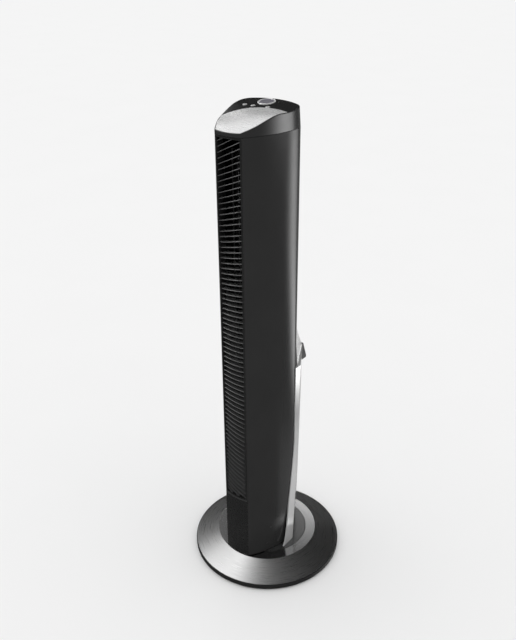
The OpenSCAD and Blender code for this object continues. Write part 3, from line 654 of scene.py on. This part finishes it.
def cap_shell(material):
    """Side wall, rounded top edge and the recess that the two covers lie in."""
    rings = [at_height(outline(CAP_WALL, CAP_FRONT_R), CAP_Z),
             at_height(outline(0.35, CAP_FRONT_R), CAP_Z),
             at_height(outline(0, CAP_FRONT_R), CAP_Z + 0.35),
             cap_ring(0, 3), cap_ring(0, 0.9), cap_ring(0.1, 0.45), cap_ring(0.35, 0.12),
             cap_ring(0.8, 0), cap_ring(1.3, 0), cap_ring(1.45, 0.1), cap_ring(1.5, 0.4),
             cap_ring(1.5, 2.1), cap_ring(8, 2.1), cap_ring(8, 4.3), cap_ring(CAP_WALL, 4.3)]
    return stands_for(piece("cap_shell", *loops(rings), smooth=35), "top_cap", material)


def cover_edge(points, count):
    """Evenly spaced points along an open path."""
    lengths = [0]
    for a, b in zip(points, points[1:]):
        lengths.append(lengths[-1] + math.dist(a, b))
    out, k = [], 0
    for i in range(count + 1):
        want = lengths[-1] * i / count
        while k < len(points) - 2 and lengths[k + 1] < want:
            k += 1
        t = (want - lengths[k]) / max(lengths[k + 1] - lengths[k], 1e-9)
        out.append((between(points[k][0], points[k + 1][0], t),
                    between(points[k][1], points[k + 1][1], t)))
    return out


def cover_outline(inset):
    """Plan of the covers, where the cap leans in."""
    return [(x, y) for x, y, z in cap_ring(inset, 0)]


def split_outline(r):
    """The covers' outline in front of a circle and behind it, each from right to left."""
    ring = cover_outline(1.6)
    behind = [i for i, (x, y) in enumerate(ring) if math.hypot(x - ARC[0], y - ARC[1]) > r]
    first, last = behind[0], behind[-1]
    front = list(reversed(ring[:first + 1])) + list(reversed(ring[last:]))
    return front, ring[first:last + 1]


def arc_line(r, ends, count):
    """The circle between plate and panel, from its right end to its left end."""
    start, end = (math.atan2(y - ARC[1], x - ARC[0]) for x, y in ends)
    return arc(ARC[0], ARC[1], r, start, end, count)


def cover_solid(name, low_path, high_path, rows, thick=2.0):
    """A skin between two paths of equal length, lying on the cap's sloping top."""
    lip = 0.35
    steps = [0, 0.006, 0.02] + [k / rows for k in range(1, rows)] + [0.98, 0.994, 1]
    drops = {0: lip, 0.006: 0.1, 0.02: 0, 0.98: 0, 0.994: 0.1, 1: lip}
    top = []
    for v in steps:
        row = []
        for (ax, ay), (bx, by) in zip(low_path, high_path):
            x, y = between(ax, bx, v), between(ay, by, v)
            row.append((x, y, cap_height(x, y) - drops.get(v, 0)))
        top.append(row)
    bottom = [[(x, y, cap_height(x, y) - thick) for x, y, z in row] for row in (top[0], top[-1])]
    rows_all = [bottom[0]] + top + [bottom[1]]
    width = len(low_path)
    verts = [p for row in rows_all for p in row]
    faces = []
    for r in range(len(rows_all)):
        a, b = r * width, (r + 1) % len(rows_all) * width
        faces += [(a + i, a + i + 1, b + i + 1, b + i) for i in range(width - 1)]
    for end in (0, width - 1):
        faces.append(tuple(r * width + end for r in range(len(rows_all))))
    return piece(name, verts, faces, smooth=35)


def silver_plate(material):
    """Plate between the front lip and the arc, with a bite for the key that overlaps it."""
    count, r = 140, ARC_R - 0.1
    front, _ = split_outline(r)
    line = arc_line(r, (front[0], front[-1]), count)
    obj = cover_solid("silver_plate", cover_edge(front, count), line, 24)
    cut(obj, panel_tool(SWING, SMALL_R + 0.3))
    shade(obj.data, 35)
    return stands_for(obj, "cap_plate", material)


def on_panel(obj):
    """Moves a piece from the origin to the plane of the control panel."""
    place = Matrix.Translation(Vector((0, CREASE_Y, CREASE_Z)) * MM)
    obj.data.transform(place @ Matrix.Rotation(PANEL_TILT, 4, "X"))
    return obj


def panel_tool(place, radius):
    """Cutting cylinder through the control panel."""
    return on_panel(rod((place[0], place[1], 0), (0, 0, 1), radius, 20, 64))


def control_face(material):
    """Gloss cover behind the arc, with openings for the controls."""
    count, r = 96, ARC_R + 0.1
    _, back = split_outline(r)
    line = arc_line(r, (back[0], back[-1]), count)
    obj = cover_solid("control_face", line, cover_edge(back, count), 16)
    tools = [panel_tool(DIAL, POWER_R + 0.3), panel_tool(RECEIVER, RECEIVER_R + 0.1)]
    tools += [panel_tool(p, SMALL_R + 0.3) for p in (SPEED, TIMER, SWING)]
    cut(obj, *tools)
    shade(obj.data, 35)
    return stands_for(obj, "control_panel", material)


def dial_ring(material):
    """Half-round chrome bezel."""
    inner, rise = POWER_R + 0.3, 1.4
    mid, half = (DIAL_R + inner) / 2, (DIAL_R - inner) / 2
    profile = [(mid + half * math.cos(a), rise * math.sin(a) ** 0.8)
               for a in (math.pi * k / 12 for k in range(13))]
    obj = on_panel(piece("dial_ring", *lathe(profile, 128, DIAL), smooth=60))
    return stands_for(obj, "display_ring", material)


def key(name, node, place, radius, crown, material, dish=0.0):
    """A round push key: stem, flange under the panel and a crowned or dished top."""
    top, edge = BUTTON_RISE, min(0.8, radius * 0.2)
    stem_r, stem_z, flange_r, flange_z, flange_top = 2.5, -4.3, radius + 1.1, -3.6, -2.4
    profile = [(0, stem_z), (stem_r, stem_z), (stem_r, flange_z), (flange_r, flange_z),
               (flange_r, flange_top), (radius, flange_top), (radius, top - edge - crown)]
    for k in range(1, 7):
        a = math.pi / 2 * k / 6
        profile.append((radius - edge + edge * math.cos(a), top - edge - crown + edge * math.sin(a)))
    for k in range(1, 9):
        r = (radius - edge) * (1 - k / 8)
        share = 1 - (r / (radius - edge)) ** 2
        profile.append((r, top - crown + (crown - dish) * share))
    verts, faces = turned(profile)
    obj = piece(name, [(x + place[0], y + place[1], z) for x, y, z in verts], faces, smooth=40)
    return stands_for(on_panel(obj), node, material)


def receiver_lens(material):
    """Small domed window of the remote control's receiver."""
    foot_z, shoulder_z, dome = -8, -0.2, 0.7
    profile = [(0, foot_z), (RECEIVER_R, foot_z), (RECEIVER_R, shoulder_z)]
    profile += [(RECEIVER_R * math.cos(a), shoulder_z + dome * math.sin(a))
                for a in (math.pi / 2 * k / 6 for k in range(1, 7))]
    verts, faces = turned(profile, 48)
    obj = piece("receiver_lens", [(x + RECEIVER[0], y + RECEIVER[1], z) for x, y, z in verts],
                faces, smooth=40)
    return stands_for(on_panel(obj), "remote_receiver", material)


# ---------- materials ----------

class Nodes:
    """A node material being built. Inputs are numbers, colours or other nodes' outputs."""

    def __init__(self, name):
        self.material = bpy.data.materials.new(name)
        self.material.use_nodes = True
        self.tree = self.material.node_tree
        self.shader = self.tree.nodes["Principled BSDF"]

    def add(self, kind, settings=None, **inputs):
        """A new node. An input's name has _ for each space, and unnamed sockets go by number."""
        node = self.tree.nodes.new(kind)
        for key_name, value in (settings or {}).items():
            setattr(node, key_name, value)
        for socket, value in inputs.items():
            self.put(node, socket.replace("_", " "), value)
        return node

    def put(self, node, socket, value):
        """Links value to the socket if it is an output, and sets the socket to it if not."""
        target = node.inputs[int(socket)] if socket.isdigit() else node.inputs[socket]
        if isinstance(value, bpy.types.NodeSocket):
            self.tree.links.new(value, target)
        else:
            target.default_value = value

    def math(self, operation, a, b=0.0):
        node = self.add("ShaderNodeMath", {"operation": operation})
        self.put(node, "0", a)
        self.put(node, "1", b)
        return node.outputs[0]

    def place(self):
        return self.add("ShaderNodeTexCoord").outputs["Object"]

    def stretched(self, sx, sy, sz):
        return self.add("ShaderNodeMapping", Vector=self.place(), Scale=(sx, sy, sz)).outputs[0]

    def round_place(self, around, across):
        """Coordinates that run slowly round the Z axis and fast outwards and upwards."""
        xyz = self.add("ShaderNodeSeparateXYZ", Vector=self.place()).outputs
        radius = self.math("SQRT", self.math("ADD", self.math("POWER", xyz[0], 2.0),
                                             self.math("POWER", xyz[1], 2.0)))
        safe = self.math("MAXIMUM", radius, 0.0001)
        x = self.math("MULTIPLY", self.math("DIVIDE", xyz[0], safe), around)
        y = self.math("MULTIPLY", self.math("DIVIDE", xyz[1], safe), around)
        out = self.math("MULTIPLY", self.math("ADD", radius, xyz[2]), across)
        return self.add("ShaderNodeCombineXYZ", X=x, Y=y, Z=out).outputs[0]

    def noise(self, scale, detail=2.0, where=None):
        where = where if where is not None else self.place()
        return self.add("ShaderNodeTexNoise", Vector=where, Scale=scale, Detail=detail).outputs[0]

    def span(self, value, low_out, high_out, low_in=0.3, high_in=0.7):
        """value, stretched from low_in..high_in to low_out..high_out."""
        node = self.add("ShaderNodeMapRange", Value=value)
        for socket, number in zip(("From Min", "From Max", "To Min", "To Max"),
                                  (low_in, high_in, low_out, high_out)):
            node.inputs[socket].default_value = number
        return node.outputs[0]

    def tone(self, value, colour, spread):
        """The colour, varied darker and lighter by spread as value goes from 0.3 to 0.7."""
        ramp = self.add("ShaderNodeValToRGB", Fac=value)
        ends = ramp.color_ramp.elements
        ends[0].position, ends[1].position = 0.3, 0.7
        ends[0].color = [c * (1 - spread) for c in colour] + [1]
        ends[1].color = [min(1, c * (1 + spread)) for c in colour] + [1]
        return ramp.outputs[0]

    def bump(self, height, depth, strength=1.0):
        """Normals of a relief whose full depth is given in millimetres."""
        node = self.add("ShaderNodeBump", Height=height, Distance=depth * MM, Strength=strength)
        return node.outputs[0]

    def finish(self, **inputs):
        for socket, value in inputs.items():
            self.put(self.shader, socket.replace("_", " "), value)
        return self.material


def grey(value):
    """A linear grey."""
    return (value, value, value)


def moulded(name, colour, roughness, grain=1400, depth=0.012, level=0.5, spread=0.12, sheen=0.045):
    """Moulded plastic: fine grain, slow changes of tone and of gloss."""
    n = Nodes(name)
    tone = n.tone(n.noise(9, 4.0), colour, spread)
    gloss = n.span(n.noise(60, 3.0), roughness - sheen, roughness + sheen)
    grain_height = n.noise(grain, 3.0)
    return n.finish(Base_Color=tone, Roughness=gloss, Specular_IOR_Level=level,
                    Normal=n.bump(grain_height, depth))


def gloss_black(name, colour, roughness=0.12, level=0.5):
    """Polished plastic with a clear coat, faint orange peel and hair-fine scuffs."""
    n = Nodes(name)
    tone = n.tone(n.noise(14, 3.0), colour, 0.1)
    scuffs = n.span(n.noise(240, 6.0), roughness, roughness + 0.1, 0.45, 0.8)
    peel = n.bump(n.noise(220, 1.0), 0.01, 0.5)
    return n.finish(Base_Color=tone, Roughness=scuffs, Specular_IOR_Level=level, Normal=peel)


def brushed_straight(name, colour, roughness, along=(30, 2600, 2600), anisotropy=0.5, metallic=1.0):
    """Metal brushed from side to side."""
    n = Nodes(name)
    lines = n.noise(1.0, 4.0, n.stretched(*along))
    clouds = n.noise(26, 3.0)
    tone = n.tone(n.math("ADD", n.math("MULTIPLY", lines, 0.7), n.math("MULTIPLY", clouds, 0.3)),
                  colour, 0.09)
    return n.finish(Base_Color=tone, Metallic=metallic, Anisotropic=anisotropy,
                    Roughness=n.span(lines, roughness - 0.06, roughness + 0.08),
                    Normal=n.bump(lines, 0.006, 0.6))


def brushed_round(name, colour, roughness, anisotropy, lines_depth=0.006, spread=0.08):
    """Metal turned or brushed round the Z axis."""
    n = Nodes(name)
    lines = n.noise(1.0, 4.0, n.round_place(3.0, 2400))
    coarse = n.noise(1.0, 2.0, n.round_place(1.6, 500))
    tone = n.tone(n.math("ADD", n.math("MULTIPLY", lines, 0.6), n.math("MULTIPLY", coarse, 0.4)),
                  colour, spread)
    tangent = n.add("ShaderNodeTangent", {"direction_type": "RADIAL", "axis": "Z"}).outputs[0]
    return n.finish(Base_Color=tone, Metallic=1.0, Anisotropic=anisotropy, Tangent=tangent,
                    Roughness=n.span(lines, roughness - 0.05, roughness + 0.07),
                    Normal=n.bump(lines, lines_depth, 0.6))


def speckled_metal(name, colour, roughness, speck=900, spread=0.35):
    """Metallic paint: fine bright and dark specks."""
    n = Nodes(name)
    specks = n.noise(speck, 5.0)
    tone = n.tone(specks, colour, spread)
    return n.finish(Base_Color=tone, Metallic=0.9, Roughness=n.span(specks, roughness - 0.06,
                                                                  roughness + 0.1),
                    Normal=n.bump(specks, 0.008, 0.7))


def silver_paint(name, colour, roughness, metallic=0.85):
    """Silver lacquer: metallic flakes under a soft clear coat."""
    n = Nodes(name)
    flakes = n.noise(1800, 3.0)
    clouds = n.noise(12, 3.0)
    tone = n.tone(n.math("ADD", n.math("MULTIPLY", flakes, 0.45), n.math("MULTIPLY", clouds, 0.55)),
                  colour, 0.07)
    return n.finish(Base_Color=tone, Metallic=metallic, Coat_Weight=0.25, Coat_Roughness=0.12,
                    Roughness=n.span(clouds, roughness - 0.04, roughness + 0.05),
                    Normal=n.bump(n.noise(300, 2.0), 0.008, 0.4))


def bare_metal(name, colour, roughness, mottle=160, spread=0.14):
    """Machined, plated or drawn metal with a faint mottle."""
    n = Nodes(name)
    tone = n.tone(n.noise(mottle, 5.0), colour, spread)
    marks = n.noise(1.0, 4.0, n.round_place(4.0, 1500))
    return n.finish(Base_Color=tone, Metallic=1.0,
                    Roughness=n.span(marks, roughness - 0.06, roughness + 0.08),
                    Normal=n.bump(marks, 0.006, 0.4))


def rubber(name, colour=grey(0.012)):
    """Matt rubber with a fine grain."""
    n = Nodes(name)
    grain = n.noise(2600, 4.0)
    return n.finish(Base_Color=n.tone(n.noise(40, 4.0), colour, 0.25), Specular_IOR_Level=0.3,
                    Roughness=n.span(grain, 0.7, 0.9), Normal=n.bump(grain, 0.02))


def casting(name, colour):
    """Painted casting with a rough skin."""
    n = Nodes(name)
    skin = n.noise(420, 6.0)
    return n.finish(Base_Color=n.tone(n.noise(30, 5.0), colour, 0.25), Metallic=0.5,
                    Roughness=n.span(skin, 0.6, 0.85), Normal=n.bump(skin, 0.15, 0.8))


def wound_copper(name):
    """Enamelled wire in bundles that run round the stator."""
    n = Nodes(name)
    wires = n.add("ShaderNodeTexWave", {"bands_direction": "Z"}, Vector=n.place(), Scale=420.0,
                  Distortion=1.5, Detail=2.0).outputs[1]
    return n.finish(Base_Color=n.tone(wires, (0.55, 0.20, 0.07), 0.45), Metallic=0.8,
                    Roughness=n.span(wires, 0.25, 0.45), Normal=n.bump(wires, 0.2, 0.8))


def board(name):
    """Circuit board: solder mask with copper tracks showing through."""
    n = Nodes(name)
    tracks = n.add("ShaderNodeTexVoronoi", {"feature": "DISTANCE_TO_EDGE"}, Vector=n.place(),
                   Scale=260.0).outputs[0]
    ramp = n.add("ShaderNodeValToRGB", Fac=tracks)
    ramp.color_ramp.interpolation = "CONSTANT"
    ends = ramp.color_ramp.elements
    ends[0].color, ends[1].color = (0.05, 0.22, 0.08, 1), (0.015, 0.09, 0.03, 1)
    ends[1].position = 0.08
    return n.finish(Base_Color=ramp.outputs[0], Roughness=n.span(n.noise(200, 3.0), 0.25, 0.4),
                    Normal=n.bump(tracks, 0.03, 0.4))


def make_materials():
    """A material for each of the record's slots, and three for single pieces."""
    return {
        "black_plastic": moulded("black_plastic", grey(0.014), 0.42, 1600, 0.02),
        "slat_black": silver_paint("slat_black", grey(0.16), 0.22, 0.6),
        "dial_face": silver_paint("dial_face", (0.26, 0.25, 0.29), 0.3, 0.35),
        "small_keys": silver_paint("small_keys", grey(0.62), 0.22, 0.5),
        "casing_charcoal": moulded("casing_charcoal", grey(0.024), 0.17, 1100, 0.002, 0.5, 0.06, 0.012),
        "base_gunmetal": brushed_round("base_gunmetal", grey(0.52), 0.30, 0.3, 0.0002, 0.006),
        "turntable_grey": speckled_metal("turntable_grey", grey(0.26), 0.16),
        "ring_silver": brushed_round("ring_silver", grey(0.60), 0.12, 0.0, 0.002, 0.05),
        "arm_silver": silver_paint("arm_silver", grey(0.85), 0.14, 0.6),
        "shoulder_grey": silver_paint("shoulder_grey", grey(0.55), 0.3, 0.7),
        "plate_silver": brushed_straight("plate_silver", grey(0.84), 0.28, metallic=0.5),
        "panel_black": gloss_black("panel_black", grey(0.012), 0.14),
        "front_black": gloss_black("front_black", grey(0.014), 0.25, 0.4),
        "button_silver": silver_paint("button_silver", grey(0.42), 0.3, 0.35),
        "chrome_trim": silver_paint("chrome_trim", grey(0.92), 0.09, 0.45),
        "rubber_black": rubber("rubber_black"),
        "steel": bare_metal("steel", grey(0.45), 0.3),
        "dark_steel": bare_metal("dark_steel", grey(0.07), 0.42),
        "cast_iron": casting("cast_iron", (0.07, 0.06, 0.055)),
        "acetal": moulded("acetal", (0.68, 0.65, 0.58), 0.4, 900, 0.01),
        "bronze": bare_metal("bronze", (0.50, 0.33, 0.14), 0.38),
        "copper": wound_copper("copper"),
        "board_green": board("board_green"),
        "aluminium": bare_metal("aluminium", grey(0.62), 0.32),
    }


# ---------- camera, light and floor ----------

def set_camera():
    """Seen from the front right and above."""
    lens, distance, height = 42.61, 1.39105, 1.30836
    around, down, aim, roll = (math.radians(a) for a in (36.711, 27.322, 0.74, -0.419))
    data = bpy.data.cameras.new("camera")
    data.lens, data.sensor_width, data.sensor_fit = lens, 36, "AUTO"
    data.clip_start, data.clip_end = 0.05, 200
    camera = bpy.data.objects.new("camera", data)
    place = Vector((distance * math.sin(around), -distance * math.cos(around), height))
    turn = (Matrix.Rotation(around + aim, 4, "Z") @ Matrix.Rotation(math.pi / 2 - down, 4, "X")
            @ Matrix.Rotation(roll, 4, "Z"))
    camera.matrix_world = Matrix.Translation(place) @ turn
    bpy.context.scene.collection.objects.link(camera)
    bpy.context.scene.camera = camera


class Sky(Nodes):
    """The world's own node tree."""

    def __init__(self):
        world = bpy.data.worlds.new("studio")
        world.use_nodes = True
        bpy.context.scene.world = world
        self.tree = world.node_tree
        self.tree.nodes.clear()

    def facing(self, azimuth, elevation):
        """Cosine of the angle between the ray and a direction given in degrees."""
        a, e = math.radians(azimuth), math.radians(elevation)
        toward = (-math.sin(a) * math.cos(e), math.cos(a) * math.cos(e), math.sin(e))
        node = self.add("ShaderNodeVectorMath", {"operation": "DOT_PRODUCT"})
        self.put(node, "0", self.add("ShaderNodeTexCoord").outputs["Generated"])
        self.put(node, "1", toward)
        return self.math("MAXIMUM", node.outputs["Value"], 0.0)

    def lamp(self, azimuth, elevation, sharpness, strength):
        """A round glow: strength in its middle, falling to nothing."""
        return self.math("MULTIPLY", self.math("POWER", self.facing(azimuth, elevation), sharpness),
                         strength)

    def bell(self, value, middle, width):
        """1 in the middle, falling smoothly to nothing on both sides."""
        off = self.math("DIVIDE", self.math("SUBTRACT", value, middle), width)
        return self.math("EXPONENT", self.math("MULTIPLY", self.math("MULTIPLY", off, off), -1.0))

    def window(self, value, start, end, soft_start, soft_end):
        """1 between start and end, with a soft edge at each."""
        rise = self.step(value, start, soft_start)
        return self.math("SUBTRACT", rise, self.step(value, end, soft_end))

    def step(self, value, edge, soft):
        """0 below the edge and 1 above it, changing smoothly over soft on each side."""
        node = self.add("ShaderNodeMapRange", {"interpolation_type": "SMOOTHSTEP"}, Value=value)
        node.inputs["From Min"].default_value = edge - soft
        node.inputs["From Max"].default_value = edge + soft
        return node.outputs[0]

    def total(self, *values):
        out = values[0]
        for value in values[1:]:
            out = self.math("ADD", out, value)
        return out

    def product(self, *values):
        out = values[0]
        for value in values[1:]:
            out = self.math("MULTIPLY", out, value)
        return out


def studio_sky():
    """Even light for matt surfaces, and a studio of soft boxes that only reflections see.

    Azimuth 0 is straight back (+Y) and grows to the left; elevation is above the horizon.
    """
    s = Sky()
    path = s.add("ShaderNodeLightPath").outputs
    xyz = s.add("ShaderNodeSeparateXYZ", Vector=s.add("ShaderNodeTexCoord").outputs["Generated"])
    azimuth = s.math("DEGREES", s.math("ARCTAN2", s.math("MULTIPLY", xyz.outputs[0], -1.0),
                                       xyz.outputs[1]))
    elevation = s.math("DEGREES", s.math("ARCSINE", xyz.outputs[2]))
    above = s.step(elevation, -4.0, 4.0)
    # above the horizon: the key light, two glints, and boxes for the slats, the plate and the ring
    key = s.total(s.lamp(125, 66, 60, 3.2), s.lamp(125, 66, 4.5, 0.26))
    glints = s.total(s.lamp(17, 25, 500, 9.0), s.lamp(56, 25, 500, 9.0))
    slat_strip = s.lamp(118, 37, 40, 7.0)
    left_wall = s.product(s.window(azimuth, 68, 175, 3, 4), s.window(elevation, 0, 55, 3, 10),
                          0.09)
    plate_box = s.product(s.bell(azimuth, 58, 10), s.bell(elevation, 47, 12), 1.6)
    ring_box = s.product(s.bell(azimuth, 32.5, 4), s.bell(elevation, 39.5, 2.6), 1.7)
    upper = s.total(0.045, key, slat_strip, left_wall, plate_box, ring_box, glints)
    # the tall box whose reflection runs down the casing's rear corner
    drift = s.math("MAXIMUM", s.math("SUBTRACT", -22.0, elevation), 0.0)
    first_bounce = s.math("LESS_THAN", path["Ray Depth"], 2.5)
    column_box = s.product(s.bell(s.math("SUBTRACT", azimuth, drift), -41, 7), first_bounce,
                           s.window(elevation, -31.5, -12, 2.5, 1.5), 4.8)
    cap_box = s.product(s.bell(azimuth, -57, 16), s.window(azimuth, -120, -43.5, 5, 1.2),
                        s.window(elevation, -10.5, 4, 1, 2), 8.0)
    # below the horizon: what the casing's rear corner, the arm's walls and its spine reflect
    rear_wall = s.product(s.window(azimuth, -30, 8, 4, 5), 0.3)
    spine_box = s.product(s.window(azimuth, 12, 36, 3, 3),
                          s.total(s.product(s.window(elevation, -60, -20, 3, 4), 0.4),
                                  s.product(s.window(elevation, -31, -22, 2, 3), 0.75)))
    side_glow = s.product(s.window(azimuth, -62, -22, 4, 4), s.window(elevation, -60, -36, 4, 1),
                          0.3)
    lower = s.total(0.1, column_box, cap_box, rear_wall, spine_box, side_glow)
    mirror = s.total(s.product(upper, above), s.product(lower, s.math("SUBTRACT", 1.0, above)))
    matt = s.total(1.21, s.lamp(125, 55, 3.0, 0.3))
    level = s.total(s.product(path["Is Glossy Ray"], mirror), s.product(path["Is Diffuse Ray"], matt),
                    s.product(path["Is Camera Ray"], 0.888))
    background = s.add("ShaderNodeBackground", Strength=level)
    output = s.add("ShaderNodeOutputWorld")
    s.tree.links.new(background.outputs[0], output.inputs["Surface"])


def studio_floor():
    """Plain pale floor that runs out to the horizon."""
    reach = 80 / MM
    n = Nodes("floor_paper")
    n.finish(Base_Color=n.tone(n.noise(3, 2.0), grey(0.86), 0.004), Roughness=0.9,
             Emission_Color=(1, 1, 1, 1), Emission_Strength=0.012,
             Specular_IOR_Level=0.0)
    floor = piece("floor", [(-reach, -reach, 0), (reach, -reach, 0), (reach, reach, 0),
                            (-reach, reach, 0)], [(0, 1, 2, 3)])
    floor.data.materials.append(n.material)
    floor.visible_glossy = False


# ---------- assembly ----------

def paint_cad_nodes(materials):
    """Gives every CAD node its slot's material, replaced or not."""
    for name, node in frame["nodes"].items():
        node.data.materials.clear()
        node.data.materials.append(materials[SLOT_OF[name]])


def build():
    m = make_materials()
    paint_cad_nodes(m)
    base_rim(m["black_plastic"])
    base_cone(m["base_gunmetal"])
    plateau_band(m["ring_silver"])
    turntable(m["turntable_grey"])
    casing_side(-1, m["casing_charcoal"])
    casing_side(1, m["casing_charcoal"])
    lower_front(m["front_black"])
    outlet_slats(m["slat_black"])
    arm_shell(m["arm_silver"])
    shoulder_shell(m["shoulder_grey"])
    grip_wedge(m["black_plastic"])
    cap_shell(m["casing_charcoal"])
    silver_plate(m["plate_silver"])
    control_face(m["panel_black"])
    dial_ring(m["chrome_trim"])
    receiver_lens(m["black_plastic"])
    key("power_key", "power_button", DIAL, POWER_R, 0.1, m["dial_face"], 0.5)
    key("speed_key", "speed_button", SPEED, SMALL_R, 0.5, m["small_keys"])
    key("timer_key", "timer_button", TIMER, SMALL_R, 0.5, m["small_keys"])
    key("swing_key", "swing_button", SWING, SMALL_R, 0.5, m["small_keys"])


set_camera()
studio_sky()
studio_floor()
build()
bpy.context.scene.view_settings.view_transform = "Standard"
